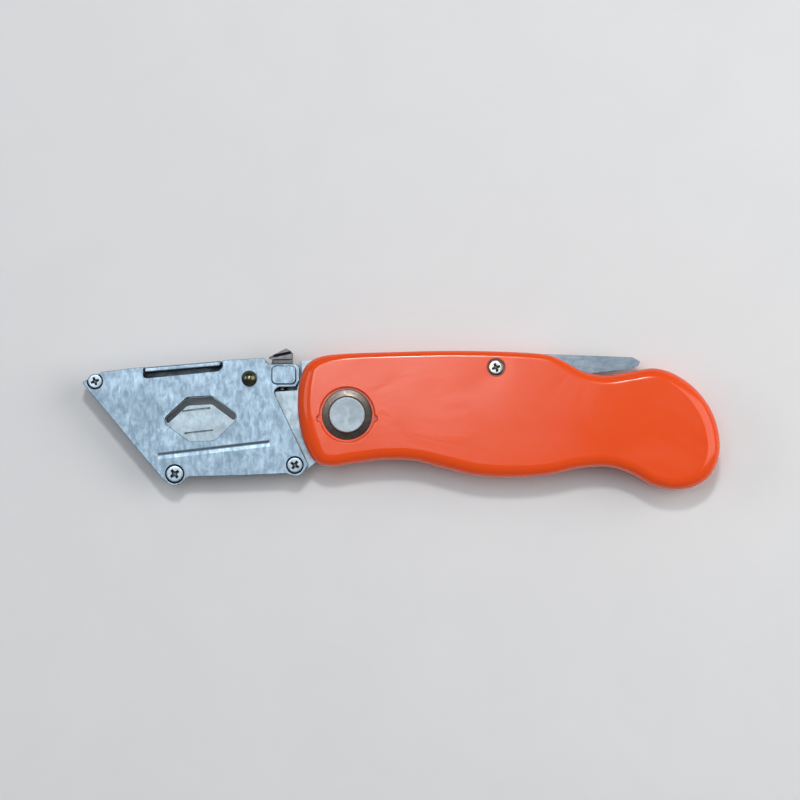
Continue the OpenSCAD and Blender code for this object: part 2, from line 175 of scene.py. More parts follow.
class Skin:
    """A closed surface whose every point has its own shading direction"""

    def __init__(self):
        self.points, self.ways, self.faces = [], [], []

    def rim(self, loop, profile, start=1, end=-1):
        """Sweeps a profile along a loop and gives its first and last ring. start and end say
        whether the flat surface that it joins there faces up (1), down (-1) or is round (0)."""
        ways, shades = sides(loop)
        columns = [profile(i) if callable(profile) else profile for i in range(len(loop))]
        last = len(columns[0]) - 1
        before = None
        for k in range(last + 1):
            now = []
            for p, way, shade, column in zip(loop, ways, shades, columns):
                off, z = column[k]
                a, b = column[max(k - 1, 0)], column[min(k + 1, last)]
                tilt = Vector((a[1] - b[1], b[0] - a[0]))
                if k == 0 and start:
                    tilt = Vector((0, start))
                if k == last and end:
                    tilt = Vector((0, end))
                tilt.normalize()
                q = p + way * off
                now.append(len(self.points))
                self.points.append((q.x, q.y, z))
                self.ways.append((shade.x * tilt.x, shade.y * tilt.x, tilt.y))
            if before:
                for i in range(len(now)):
                    j = (i + 1) % len(now)
                    self.faces.append((before[i], now[i], now[j], before[j]))
            else:
                first = now
            before = now
        return first, now

    def cap(self, rings, up=True):
        """Fills the flat area between rings"""
        ids, edges = [], []
        inside_only, tolerance = 1, 1e-6
        for loop in rings:
            base = len(ids)
            ids += loop
            edges += [(base + i, base + (i + 1) % len(loop)) for i in range(len(loop))]
        spots = [Vector(self.points[i][:2]) / MM for i in ids]
        found = delaunay_2d_cdt(spots, edges, [], inside_only, tolerance)
        for face in found[2]:
            mid = sum((found[0][v] for v in face), Vector((0, 0))) / len(face)
            if enclosed(mid, [(spots[a], spots[b]) for a, b in edges]):
                corner = [ids[found[3][v][0]] for v in face]
                self.faces.append(tuple(corner if up else corner[::-1]))

    def piece(self, name):
        """The skin as an object"""
        mesh = bpy.data.meshes.new(name)
        mesh.from_pydata(self.points, [], self.faces)
        mesh.polygons.foreach_set("use_smooth", [True] * len(mesh.polygons))
        mesh.validate()
        mesh.update()
        mesh.normals_split_custom_set_from_vertices(self.ways)
        made = bpy.data.objects.new(name, mesh)
        bpy.context.scene.collection.objects.link(made)
        return made


def finish_piece(obj, material, *nodes):
    """The piece takes the place of CAD nodes: it hides them, rides on their body and gets the
    given material
    """
    record = frame["record"]
    body = next(b for b, members in record["behaviour"]["bodies"].items() if nodes[0] in members)
    if material:
        obj.data.materials.clear()
        obj.data.materials.append(material)
    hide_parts(*nodes)
    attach(obj, body)


def softened(node, width, material, crown=0):
    """A finely bevelled copy of a part, for stamped and machined pieces. crown is the radius
    of the rounding on the edges of its highest flat face, where that is rounder."""
    same_spot, sliver = 0.025 * MM, 0.005 * MM
    flat_turn, edge_turn = math.radians(0.6), math.radians(35)
    mesh = frame["nodes"][node].data.copy()
    mesh.materials.clear()
    work = bmesh.new()
    work.from_mesh(mesh)
    bmesh.ops.remove_doubles(work, verts=work.verts, dist=same_spot)
    bmesh.ops.dissolve_degenerate(work, edges=work.edges, dist=sliver)
    bmesh.ops.dissolve_limit(work, angle_limit=flat_turn, verts=work.verts, edges=work.edges,
                             use_dissolve_boundaries=False, delimit=set())
    work.to_mesh(mesh)
    work.free()
    if mesh.has_custom_normals:
        mesh.normals_split_custom_set([(0, 0, 0)] * len(mesh.loops))
    raw = bpy.data.objects.new(node + "_raw", mesh)
    bpy.context.scene.collection.objects.link(raw)
    mesh.polygons.foreach_set("use_smooth", [True] * len(mesh.polygons))
    if crown:
        top = max(v.co.z for v in mesh.vertices)
        high = [all(abs(mesh.vertices[v].co.z - top) < LEVEL_FIT for v in e.vertices)
                for e in mesh.edges]
        weight = mesh.attributes.new("bevel_weight_edge", "FLOAT", "EDGE")
        weight.data.foreach_set("value", [float(h) for h in high])
        rounding = raw.modifiers.new("Crown", "BEVEL")
        rounding.width, rounding.segments, rounding.limit_method = crown, 5, "WEIGHT"
        rounding.use_clamp_overlap = True
    edge = raw.modifiers.new("Soft edges", "BEVEL")
    edge.width = width
    edge.segments = 2
    edge.limit_method = "ANGLE"
    edge.angle_limit = edge_turn
    edge.use_clamp_overlap = True
    edge.harden_normals = True
    shade = raw.modifiers.new("Even shading", "WEIGHTED_NORMAL")
    shade.keep_sharp = True
    shade.weight = 90
    graph = bpy.context.evaluated_depsgraph_get()
    final = bpy.data.meshes.new_from_object(raw.evaluated_get(graph))
    bpy.data.objects.remove(raw)
    final.name = node + "_finished"
    made = bpy.data.objects.new(node + "_finished", final)
    bpy.context.scene.collection.objects.link(made)
    finish_piece(made, material, node)


# ---- materials ----

def put(tree, kind, links=None, **settings):
    """Adds a node, with its settings and with values or other nodes' outputs on its inputs"""
    made = tree.nodes.new(kind)
    for key, value in settings.items():
        setattr(made, key, value)
    for key, value in (links or {}).items():
        if isinstance(value, bpy.types.NodeSocket):
            tree.links.new(value, made.inputs[key])
        else:
            made.inputs[key].default_value = value
    return made


def group(name, inputs, outputs):
    """An empty shader group with its sockets; gives the tree, its inputs and its output node"""
    tree = bpy.data.node_groups.new(name, "ShaderNodeTree")
    for label, kind, value in inputs:
        socket = tree.interface.new_socket(name=label, in_out="INPUT", socket_type=kind)
        if value is not None:
            socket.default_value = value
    for label, kind in outputs:
        tree.interface.new_socket(name=label, in_out="OUTPUT", socket_type=kind)
    return tree, put(tree, "NodeGroupInput").outputs, put(tree, "NodeGroupOutput")


FLOAT, VECTOR = "NodeSocketFloat", "NodeSocketVector"


def ramp(tree, value, low, high):
    """A smooth step from 0 at low to 1 at high"""
    return put(tree, "ShaderNodeMapRange", {"Value": value, "From Min": low, "From Max": high},
               interpolation_type="SMOOTHSTEP").outputs["Result"]


def math_node(tree, operation, a, b):
    """One sum on two numbers or outputs"""
    return put(tree, "ShaderNodeMath", {0: a, 1: b}, operation=operation).outputs[0]


def mottle_group():
    """Cloudy grain, stretched along one way, from 0 to 1"""
    tree, given, out = group("Mottle", [
        ("Vector", VECTOR, None), ("Scale", FLOAT, 400.0), ("Stretch", VECTOR, (1, 1, 1)),
        ("Contrast", FLOAT, 0.5)], [("Value", FLOAT)])
    spread = put(tree, "ShaderNodeVectorMath", {0: given["Vector"], 1: given["Stretch"]},
                 operation="MULTIPLY").outputs[0]
    fine = put(tree, "ShaderNodeTexNoise", {"Vector": spread, "Scale": given["Scale"],
               "Detail": 4.0, "Roughness": 0.65, "Distortion": 0.6}).outputs[0]
    low = math_node(tree, "SUBTRACT", 0.5, math_node(tree, "MULTIPLY", given["Contrast"], 0.5))
    high = math_node(tree, "ADD", 0.5, math_node(tree, "MULTIPLY", given["Contrast"], 0.5))
    tree.links.new(ramp(tree, fine, low, high), out.inputs["Value"])
    return tree


def scratch_group():
    """A few fine lines along one way; 1 on a line"""
    tree, given, out = group("Scratches", [
        ("Vector", VECTOR, None), ("Angle", FLOAT, 0.0), ("Density", FLOAT, 0.5),
        ("Scale", FLOAT, 900.0)], [("Mask", FLOAT)])
    turned = put(tree, "ShaderNodeVectorRotate", {"Vector": given["Vector"],
                 "Angle": given["Angle"]}, rotation_type="Z_AXIS").outputs[0]
    drawn = put(tree, "ShaderNodeVectorMath", {0: turned, 1: (0.03, 1, 1)},
                operation="MULTIPLY").outputs[0]
    lines = put(tree, "ShaderNodeTexNoise", {"Vector": drawn, "Scale": given["Scale"],
                "Detail": 2.0, "Roughness": 0.5}).outputs[0]
    patches = put(tree, "ShaderNodeTexNoise", {"Vector": turned, "Scale": 90.0,
                  "Detail": 1.0}).outputs[0]
    thin = ramp(tree, lines, 0.64, 0.7)
    here = ramp(tree, patches, math_node(tree, "SUBTRACT", 0.9, math_node(
        tree, "MULTIPLY", given["Density"], 0.5)), 0.95)
    tree.links.new(math_node(tree, "MULTIPLY", thin, here), out.inputs["Mask"])
    return tree


def wear_and_glint_group():
    """Rubbed edges, which on the cover plate also serve as a painted highlight: 1 where the
    surface turns within the radius, broken up by grain
    """
    tree, given, out = group("Edge wear", [
        ("Vector", VECTOR, None), ("Radius", FLOAT, 0.3 * MM), ("Amount", FLOAT, 0.5)],
        [("Mask", FLOAT)])
    true_way = put(tree, "ShaderNodeNewGeometry").outputs["Normal"]
    soft_way = put(tree, "ShaderNodeBevel", {"Radius": given["Radius"]}, samples=6).outputs[0]
    turn = put(tree, "ShaderNodeVectorMath", {0: true_way, 1: soft_way},
               operation="DOT_PRODUCT").outputs["Value"]
    grain = put(tree, "ShaderNodeTexNoise", {"Vector": given["Vector"], "Scale": 700.0,
                "Detail": 3.0}).outputs[0]
    edge = ramp(tree, turn, 0.995, 0.9)
    broken = ramp(tree, grain, math_node(tree, "SUBTRACT", 0.75, math_node(
        tree, "MULTIPLY", given["Amount"], 0.5)), 0.7)
    tree.links.new(math_node(tree, "MULTIPLY", edge, broken), out.inputs["Mask"])
    return tree


def smudge_group():
    """Wide faint handling marks, from 0 to 1"""
    tree, given, out = group("Smudges", [
        ("Vector", VECTOR, None), ("Scale", FLOAT, 60.0)], [("Value", FLOAT)])
    wide = put(tree, "ShaderNodeTexNoise", {"Vector": given["Vector"], "Scale": given["Scale"],
               "Detail": 3.0, "Roughness": 0.55, "Distortion": 1.2}).outputs[0]
    tree.links.new(ramp(tree, wide, 0.35, 0.7), out.inputs["Value"])
    return tree


def relief_group():
    """Turns a height from 0 to 1 into a shading direction"""
    tree, given, out = group("Relief", [
        ("Height", FLOAT, 0.5), ("Depth", FLOAT, 0.02 * MM), ("Strength", FLOAT, 1.0)],
        [("Normal", VECTOR)])
    bump = put(tree, "ShaderNodeBump", {"Height": given["Height"], "Distance": given["Depth"],
               "Strength": given["Strength"]})
    tree.links.new(bump.outputs[0], out.inputs["Normal"])
    return tree


def painted_shade_group():
    """Painted shade in gaps and deep corners: 1 where little light gets in, used to darken the
    colour there
    """
    tree, given, out = group("Painted shade", [
        ("Reach", FLOAT, 1.2 * MM), ("Open", FLOAT, 0.75), ("Shut", FLOAT, 0.3)],
        [("Mask", FLOAT)])
    light = put(tree, "ShaderNodeAmbientOcclusion", {"Distance": given["Reach"]}, samples=12)
    tree.links.new(ramp(tree, light.outputs["AO"], given["Open"], given["Shut"]),
                   out.inputs["Mask"])
    return tree


GROUPS = {"painted_shade": painted_shade_group(), "mottle": mottle_group(), "scratches": scratch_group(),
          "wear_and_glint": wear_and_glint_group(), "smudges": smudge_group(), "relief": relief_group()}


class Look:
    """One material's tree, with short ways to add to it"""

    def __init__(self, name, **constants):
        self.material = bpy.data.materials.new(name)
        self.material.use_nodes = True
        self.tree = self.material.node_tree
        self.shader = self.tree.nodes["Principled BSDF"]
        self.place = put(self.tree, "ShaderNodeTexCoord").outputs["Object"]
        for key, value in constants.items():
            self.shader.inputs[key.replace("_", " ")].default_value = value

    def effect(self, name, **links):
        """Output of one of the shader groups"""
        made = put(self.tree, "ShaderNodeGroup", node_tree=GROUPS[name])
        for key, value in {"Vector": self.place, **links}.items():
            if key in made.inputs:
                if isinstance(value, bpy.types.NodeSocket):
                    self.tree.links.new(value, made.inputs[key])
                else:
                    made.inputs[key].default_value = value
        return made.outputs[0]

    def blend(self, share, a, b):
        """Colour a where share is 0 and b where it is 1"""
        a, b = (end if isinstance(end, bpy.types.NodeSocket) else (*end, 1) for end in (a, b))
        return put(self.tree, "ShaderNodeMix", {0: share, 6: a, 7: b},
                   data_type="RGBA").outputs[2]

    def level(self, value, low, high):
        """A value from 0 to 1 moved to between low and high"""
        return put(self.tree, "ShaderNodeMapRange", {
            "Value": value, "To Min": low, "To Max": high}).outputs["Result"]

    def set(self, **links):
        """Links outputs to the shader's inputs"""
        for key, value in links.items():
            self.tree.links.new(value, self.shader.inputs[key.replace("_", " ")])


def moulded_plastic():
    """Glossy orange plastic with light handling marks"""
    look = Look("Orange moulded plastic", IOR=1.5, Specular_IOR_Level=0.5,
                Subsurface_Weight=0.04, Subsurface_Scale=0.8 * MM)
    look.shader.inputs["Subsurface Radius"].default_value = (1.0, 0.35, 0.12)
    marks = look.effect("smudges", Scale=45.0)
    cloud = look.effect("mottle", Scale=70.0, Contrast=1.4)
    scuffs = look.effect("scratches", Angle=0.5, Density=0.35)
    # painted shade: the orange darkens to a deep brown-red in gaps and recesses where little light
    # gets in
    painted_shade_mask = look.effect("painted_shade", Reach=1.0 * MM, Open=0.7, Shut=0.2)
    base = look.blend(cloud, (0.9, 0.078, 0.008), (0.96, 0.095, 0.012))
    base = look.blend(math_node(look.tree, "MULTIPLY", scuffs, 0.2), base, (0.95, 0.3, 0.16))
    look.set(Base_Color=look.blend(math_node(look.tree, "MULTIPLY", painted_shade_mask, 0.75), base,
                                   (0.16, 0.02, 0.006)))
    rough = look.level(marks, 0.12, 0.2)
    look.set(Roughness=math_node(look.tree, "ADD", rough,
                                 math_node(look.tree, "MULTIPLY", scuffs, 0.2)))
    wave = look.effect("mottle", Scale=75.0, Contrast=2.5)
    look.set(Normal=look.effect("relief", Height=wave, Depth=0.2 * MM, Strength=0.35))
    return look.material


def plated_steel(name, dark, light, rough, stretch, wear_and_glint=0.5, relief=0.45, depth=1.2 * MM,
                 shut=0.3):
    """Zinc-plated sheet steel with a mottled, slightly drawn grain"""
    look = Look(name, Metallic=1.0)
    cloud = look.effect("mottle", Scale=820.0, Stretch=stretch, Contrast=0.5)
    wide = look.effect("smudges", Scale=110.0)
    specks = ramp(look.tree, look.effect("mottle", Scale=1900.0, Contrast=1.0), 0.66, 0.78)
    # rubbed edges lighten; with a high amount they also stand in for a painted highlight along the
    # rim
    rubbed_and_glint = look.effect("wear_and_glint", Radius=0.3 * MM, Amount=wear_and_glint)
    lines = look.effect("scratches", Angle=0.12, Density=0.6)
    # painted shade: the colour goes near black in gaps and deep recesses where little light gets
    # in
    painted_shade_mask = look.effect("painted_shade", Reach=depth, Open=shut + 0.4, Shut=shut)
    bright = tuple(min(c * 1.35, 0.95) for c in light)
    base = look.blend(cloud, dark, light)
    base = look.blend(math_node(look.tree, "MULTIPLY", wide, 0.35), base, dark)
    base = look.blend(math_node(look.tree, "MULTIPLY", specks, 0.4), base, bright)
    base = look.blend(math_node(look.tree, "MULTIPLY", lines, 0.4), base, bright)
    base = look.blend(math_node(look.tree, "MULTIPLY", rubbed_and_glint, 0.6), base, bright)
    look.set(Base_Color=look.blend(painted_shade_mask, base, (0.012, 0.016, 0.02)))
    mixed = math_node(look.tree, "ADD", look.level(cloud, rough + 0.06, rough - 0.05),
                      look.level(wide, -0.03, 0.06))
    look.set(Roughness=mixed)
    look.set(Normal=look.effect("relief", Height=cloud, Depth=0.02 * MM, Strength=relief))
    return look.material


def plain_metal(name, dark, light, rough, relief=0.15, metallic=1.0, depth=0.8 * MM,
                shut=0.3):
    """Turned or polished small metal parts"""
    look = Look(name, Metallic=metallic)
    cloud = look.effect("mottle", Scale=900.0, Contrast=0.7)
    wide = look.effect("smudges", Scale=260.0)
    # painted shade: the colour darkens almost to black in gaps and recesses where little light
    # gets in
    painted_shade_mask = look.effect("painted_shade", Reach=depth, Open=shut + 0.4, Shut=shut)
    base = look.blend(cloud, dark, light)
    base = look.blend(math_node(look.tree, "MULTIPLY", wide, 0.25), base, dark)
    look.set(Base_Color=look.blend(painted_shade_mask, base, tuple(c * 0.06 for c in dark)))
    look.set(Roughness=math_node(look.tree, "ADD", look.level(cloud, rough + 0.05, rough),
                                 look.level(wide, -0.02, 0.06)))
    look.set(Normal=look.effect("relief", Height=cloud, Depth=0.015 * MM, Strength=relief))
    return look.material


ORANGE = moulded_plastic()
# edge wear set high so the lightened rim is also a painted highlight on the plate's edges
PLATE = plated_steel("Mottled zinc-plated steel", (0.18, 0.26, 0.335), (0.35, 0.45, 0.535), 0.4,
                     (1.0, 0.45, 1.0), wear_and_glint=0.9)
# long reach and low threshold: strong painted shade in the core's deep gaps
CORE = plated_steel("Pale zinc-plated steel", (0.3, 0.38, 0.43), (0.39, 0.47, 0.52), 0.42,
                    (1.0, 0.6, 1.0), relief=0.2, depth=4 * MM, shut=0.15)
BAR = plated_steel("Blue-grey stamped steel", (0.14, 0.185, 0.23), (0.25, 0.305, 0.35), 0.36,
                   (0.5, 1.0, 1.0), relief=0.3)
LINER = plated_steel("Satin liner steel", (0.42, 0.46, 0.49), (0.6, 0.64, 0.67), 0.42,
                     (0.4, 1.0, 1.0), relief=0.15)
DISC = plain_metal("Matt disc metal", (0.3, 0.36, 0.4), (0.375, 0.44, 0.48), 0.46)
# a high threshold lets the painted shade fill the cross recesses and seats
NICKEL = plain_metal("Nickel plate", (0.32, 0.31, 0.28), (0.6, 0.58, 0.54), 0.16,
                     shut=0.6)
HEAD = plain_metal("Zinc-plated screw steel", (0.24, 0.3, 0.35), (0.4, 0.48, 0.54), 0.3,
                   shut=0.6)
RING = plain_metal("Dark turned steel", (0.075, 0.065, 0.056), (0.17, 0.15, 0.13), 0.3,
                   depth=1.2 * MM)
STUD = plain_metal("Dark polished brass", (0.08, 0.08, 0.05), (0.24, 0.24, 0.15), 0.18)
BRONZE = plain_metal("Bearing bronze", (0.45, 0.27, 0.12), (0.62, 0.4, 0.19), 0.35)
# long reach: painted shade in the latch's groove and the gap beside it
LATCH = plain_metal("Grey latch metal", (0.13, 0.135, 0.14), (0.26, 0.265, 0.27), 0.42,
                    relief=0.3, metallic=0.85, depth=2 * MM, shut=0.4)
SPACER = plain_metal("Matt black nylon", (0.018, 0.018, 0.02), (0.04, 0.04, 0.042), 0.55,
                     relief=0.4, metallic=0.0)

# ---- handle shells ----

PIVOT = middle(flat_loops("pivot_bolt", levels("pivot_bolt")[-1])[0])
HANDLE_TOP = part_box("left_shell")[1].z
RECESS_DEEP = HANDLE_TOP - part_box("left_pivot_ring")[0].z
SEAT_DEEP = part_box("lock_screw_nut")[1].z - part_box("right_shell")[0].z


def curved(loop):
    """The loop with a point added on the smooth curve between each two of its points"""
    made = []
    for i, b in enumerate(loop):
        a, c, d = loop[i - 1], loop[(i + 1) % len(loop)], loop[(i + 2) % len(loop)]
        made += [b, (9 * (b + c) - a - d) / 16]
    return made


def gap_to(p, a, b):
    """Distance of a point from the line between two others"""
    along = min(max((p - a).dot(b - a) / (b - a).length_squared, 0), 1)
    return (p - a - (b - a) * along).length


def shell(node, up):
    """A handle half with a soft edge, filleted recesses and a smooth flat face"""
    marks = levels(node)
    parting, face = (marks[0], marks[-1]) if up else (marks[-1], marks[0])
    flip = 1 if up else -1
    tall = abs(face - parting)
    flat = sorted(flat_loops(node, face), key=lambda loop: -abs(area(loop)))
    back = sorted(flat_loops(node, parting), key=lambda loop: -abs(area(loop)))
    outline = curved(back[0])
    crown = flat[0]
    soft = [min(gap_to(p, a, b) for a, b in zip(crown, crown[1:] + crown[:1]))
            for p in outline]
    near = range(-4, 5)
    soft = [sum(soft[(i + k) % len(soft)] for k in near) / len(near) for i in range(len(soft))]
    straight, lip = 0.6 * MM, 0.2 * MM
    skin = Skin()

    def edge(i):
        rise = min(soft[i], tall - straight)
        return ([(-soft[i] - 0.04 * MM, tall)]
                + arc(-soft[i], tall - rise, soft[i], rise, 90, 0, 18)
                + [(0, lip)] + arc(-lip, lip, lip, lip, 0, -90, 3)[1:])

    first, last = skin.rim(outline, edge)
    top, bottom = [first], [last]
    fillet, short = 0.1 * MM, 0.05 * MM
    for loop in flat[1:]:
        wide = (middle(loop) - PIVOT).length < reach(loop)
        round_off = 0.35 * MM if wide else 0.1 * MM
        start = -round_off if wide else 0
        wall = start + round_off
        down = tall - (RECESS_DEEP if wide else SEAT_DEEP)
        centre = PIVOT if wide else middle(loop)
        bore = min(back[1:], key=lambda b: (middle(b) - centre).length)
        first, last = skin.rim(
            loop, arc(start, tall - round_off, round_off, round_off, 90, 0, 5)
            + [(wall, down + fillet), (wall + fillet, down)], 1, 1)
        top.append(first)
        high, low = skin.rim(bore, [(0, down), (0, down - short), (0, short), (0, 0)], 1, -1)
        skin.cap([last, high])
        bottom.append(low)
    skin.cap(top)
    skin.cap(bottom, False)
    if not up:
        skin.faces = [f[::-1] for f in skin.faces]
    skin.points = [(x, y, parting + flip * z) for x, y, z in skin.points]
    skin.ways = [(x, y, flip * z) for x, y, z in skin.ways]
    finish_piece(skin.piece(node + "_moulding"), ORANGE, node)


shell("left_shell", True)
shell("right_shell", False)

# ---- plates, levers and other stamped pieces ----


def cover_plate(node):
    """The left cover plate with its holes, its pressed groove and its raised pad"""
    marks = levels(node)
    low, face, pad_top = marks[0], marks[-2], marks[-1]
    soft, foot, crown = 0.16 * MM, 0.14 * MM, 0.3 * MM
    dip, wide, steps = 0.15 * MM, 0.88 * MM, 8
    skin, top, bottom = Skin(), [], []
    pad = middle(flat_loops(node, pad_top)[0])
    through = [middle(loop) for loop in flat_loops(node, low)]
    for loop in flat_loops(node, face):
        here = middle(loop)
        if (here - pad).length < 0.5 * MM and area(loop) < 0:
            first, last = skin.rim(loop, (
                arc(-foot, face + foot, foot, foot, -90, 0, 6)
                + arc(crown, pad_top - crown, crown, crown, 180, 90, 6)), 1, 1)
            skin.cap([last])
            top.append(first)
        elif min((here - t).length for t in through) > 0.3 * MM:
            first, last = skin.rim(loop, [
                (wide * (k / steps - 0.51), face - dip * (1 - math.cos(math.pi * k / steps)) / 2)
                for k in range(steps + 1)], 1, 1)
            skin.cap([last])
            top.append(first)
        else:
            first, last = skin.rim(loop, arc(-soft, face - soft, soft, soft, 90, 0, 4)
                                   + arc(-soft, low + soft, soft, soft, 0, -90, 3))
            top.append(first)
            bottom.append(last)
    skin.cap(top)
    skin.cap(bottom, False)
    finish_piece(skin.piece(node + "_stamping"), PLATE, node)


cover_plate("left_plate")
softened("right_plate", 0.12 * MM, PLATE, crown=0.5 * MM)
softened("core_plate", 0.12 * MM, CORE)
softened("lock_bar", 0.3 * MM, BAR)
softened("blade_latch", 0.15 * MM, LATCH)
softened("left_liner", 0.1 * MM, LINER)
softened("right_liner", 0.1 * MM, LINER)
softened("rear_spacer", 0.15 * MM, SPACER)
softened("upper_rail", 0.05 * MM, CORE)
softened("lower_rail", 0.05 * MM, CORE)
softened("blade_stop", 0.05 * MM, CORE)
softened("lock_spring", 0.1 * MM, BAR)

# ---- round pieces ----


def turned(node, centre, profile, material):
    """A round closed piece; profile runs from the top's middle to the bottom's middle"""
    skin = Skin()
    widest = max(r for r, z in profile)
    first, last = skin.rim(ring(centre, widest), [(r - widest, z) for r, z in profile])
    skin.cap([first])
    skin.cap([last], False)
    finish_piece(skin.piece(node + "_turned"), material, node)


def centre_of(node):
    """Middle of a part's box, seen from above"""
    low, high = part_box(node)
    return Vector(((low.x + high.x) / 2, (low.y + high.y) / 2))


def disc(node, up):
    """Pivot disc with a faint dish and a soft edge; the upper one has the shank"""
    low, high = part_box(node)
    r = (high.x - low.x) / 2
    top, seat = (high.z, HANDLE_TOP - RECESS_DEEP) if up else (low.z, high.z)
    way = 1 if up else -1
    soft, dish, flat_rim, point = 0.28 * MM, 0.06 * MM, 0.35 * MM, 0.1 * MM
    shank = 0.59 * r
    profile = ([(0.3 * MM, top - way * dish), (r * 0.6, top - way * dish * 0.7)]
               + [(r - soft - flat_rim, top - way * 0.01 * MM)]
               + [(r - soft + a, top - way * (soft - b)) for a, b in
                  arc(0, 0, soft, soft, 90, 0, 5)]
               + [(r, seat), (r - 0.05 * MM, seat)])
    if up:
        profile += [(shank, seat - 0.02 * MM), (shank, low.z + point), (shank - point, low.z)]
    else:
        profile = profile[::-1]
    turned(node, PIVOT, profile, DISC)


disc("pivot_bolt", True)
disc("pivot_nut", False)


def stud():
    """A pin with the same dome on both ends"""
    low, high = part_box("thumb_stud")
    r, shank, soft = (high.x - low.x) / 2, 1.5 * MM, 0.1 * MM
    tall, deep = 1.75 * MM, 2.12 * MM
    tip, base = 0.001, high.z - deep
    dome = []
    for turn in (88, *range(80, -1, -10)):
        t = math.radians(turn)
        dome.append((r * (tip + (1 - tip) * math.cos(t)), high.z - tall * (1 - math.sin(t))))
    half = dome + [(r, base + soft), (r - soft, base), (shank, base - 0.01 * MM)]
    mid = (low.z + high.z) / 2
    profile = half + [(a, 2 * mid - z) for a, z in half[::-1]]
    turned("thumb_stud", centre_of("thumb_stud"), profile, STUD)


stud()

RING_EDGE = 0.08 * MM


def bearing_ring(node):
    """Turned ring with soft edges"""
    low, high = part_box(node)
    skin, soft = Skin(), RING_EDGE
    top, bottom = [], []
    for loop in flat_loops(node, levels(node)[-1]):
        first, last = skin.rim(loop, arc(-soft, high.z - soft, soft, soft, 90, 0, 3)
                               + arc(-soft, low.z + soft, soft, soft, 0, -90, 3))
        top.append(first)
        bottom.append(last)
    skin.cap(top)
    skin.cap(bottom, False)
    finish_piece(skin.piece(node + "_turned"), BRONZE, node)


for node in ("left_washer", "right_washer", "pivot_sleeve"):
    bearing_ring(node)


def pivot_ring(node, up):
    """Turned ring whose seen face falls away a little towards its rim"""
    low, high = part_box(node)
    outer, inner = sorted((reach(loop) for loop in flat_loops(node, high.z)), reverse=True)
    tall, width = high.z - low.z, outer - inner
    soft, fall = RING_EDGE, 0.24 * MM
    run = width - 2 * soft
    profile = [(-width, 0), (-width, tall - soft), (-width + soft, tall)]
    profile += [(soft - width + share * run, tall - share * fall) for share in (0.05, 0.5, 0.95)]
    profile += [(-soft, tall - fall), (0, tall - fall - soft), (0, 0)]
    profile = [(off, low.z + z if up else high.z - z) for off, z in profile]
    hidden = -1 if up else 1
    skin = Skin()
    first, last = skin.rim(ring(PIVOT, outer), profile if up else profile[::-1], hidden, hidden)
    skin.cap([first, last], not up)
    finish_piece(skin.piece(node + "_turned"), RING, node)


pivot_ring("left_pivot_ring", True)
pivot_ring("right_pivot_ring", False)

# ---- screws ----

HEAD_DEEP, CROSS_DEEP = 0.42, 0.4       # as shares of a head's radius


def screw_head():
    """A pan head one unit in radius, top at zero, with a tapered cross recess"""
    skin = Skin()
    arm, wide = 0.56, 0.17
    cross = []
    for k in range(4):
        turn = k * math.tau / 4
        along = Vector((math.cos(turn), math.sin(turn)))
        across = Vector((-along.y, along.x))
        cross += [along * (wide * 1.25) - across * wide, along * arm - across * wide * 0.8,
                  along * arm + across * wide * 0.8, along * (wide * 1.25) + across * wide]
    cross = cross[::-1]
    around = ring(Vector((0, 0)), 1.0, 64)
    outer, foot = skin.rim(around, [(-0.3, 0)] + arc(-0.16, -0.16, 0.16, 0.15, 80, 0, 6)
                           + [(0, 0.02 - HEAD_DEEP), (-0.02, -HEAD_DEEP)])
    lip, low = skin.rim(cross, [(-0.03, 0), (0, -0.025), (0.05, -0.22), (0.11, -CROSS_DEEP)], 1, 1)
    skin.cap([outer, lip])
    skin.cap([low])
    skin.cap([foot], False)
    return skin


